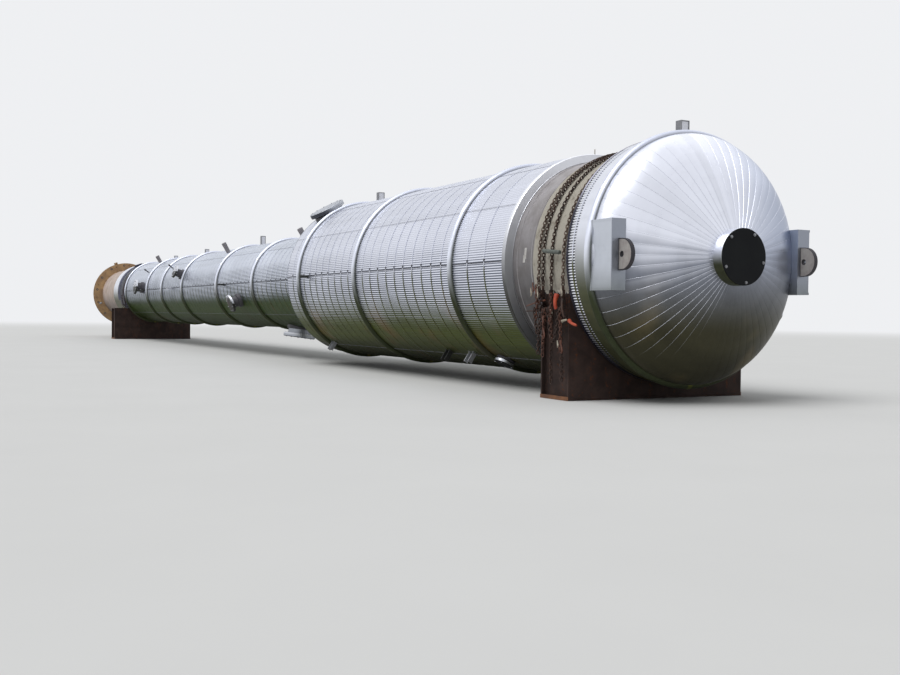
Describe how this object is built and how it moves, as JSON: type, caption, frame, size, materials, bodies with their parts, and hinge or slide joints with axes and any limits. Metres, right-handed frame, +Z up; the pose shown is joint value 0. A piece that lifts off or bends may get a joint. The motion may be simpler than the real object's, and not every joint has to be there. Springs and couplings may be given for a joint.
{
  "type": "distillation column",
  "caption": "Insulated distillation column with a dished top head, a wider upper section and an open skirt, lying chained on two transport saddles.",
  "frame": {"origin": "middle of the column's length and width, on the level of the saddles' feet", "axes": "+X along the column towards the top head, +Z up as it lies, -Y the side with the load binders"},
  "size_m": [33.996, 3.16, 3.206],
  "materials": {
    "base_primer": "matt primer with rust",
    "skirt_primer": "matt primer",
    "shell_primer": "matt grey brown primer",
    "corrugated_jacket": "bright corrugated sheet",
    "plain_jacket": "weathered flat sheet",
    "band_jacket": "bright rolled sheet",
    "head_sheet": "mirror bright sheet",
    "cover_black": "satin black",
    "lug_primer": "matt primer with rust at the rim",
    "fitting_sheet": "bright sheet",
    "fitting_steel": "dark primer",
    "rusty_saddle": "rusty dark steel",
    "belting": "dusty beige belting",
    "dark_belting": "dark belting",
    "rusty_chain": "rusty",
    "binder_red": "worn orange red paint"
  },
  "bodies": {
    "root": {"base_ring": "base_primer", "chair_ring": "base_primer", "anchor_gussets": "base_primer", "skirt_shell": "skirt_primer", "bottom_head": "shell_primer", "lower_shell": "shell_primer", "cone_shell": "shell_primer", "upper_shell": "shell_primer", "top_head": "shell_primer", "skirt_jacket": "plain_jacket", "jacket_course_1": "corrugated_jacket", "jacket_course_2": "corrugated_jacket", "jacket_course_3": "corrugated_jacket", "jacket_course_4": "corrugated_jacket", "jacket_course_5": "corrugated_jacket", "jacket_course_6": "corrugated_jacket", "cone_jacket": "corrugated_jacket", "jacket_course_7": "corrugated_jacket", "jacket_course_8": "corrugated_jacket", "jacket_course_9": "corrugated_jacket", "end_flashing": "plain_jacket", "head_strip": "corrugated_jacket", "lower_ring_bands": "band_jacket", "upper_ring_bands": "band_jacket", "head_ring": "band_jacket", "head_jacket": "head_sheet", "top_nozzle": "shell_primer", "nozzle_collar": "head_sheet", "nozzle_cover": "cover_black", "near_lug": "lug_primer", "far_lug": "lug_primer", "lug_boxes": "head_sheet", "manway_neck": "fitting_sheet", "manway_cover": "fitting_steel", "side_nozzles": "fitting_steel", "bottom_nozzles": "fitting_sheet", "platform_clips": "fitting_sheet", "slanted_stubs": "fitting_sheet", "front_saddle": "rusty_saddle", "rear_saddle": "rusty_saddle", "front_padding": "belting", "rear_padding": "dark_belting", "front_chains": "rusty_chain", "rear_chains": "rusty_chain", "load_binders": "binder_red"}
  },
  "joints": []
}
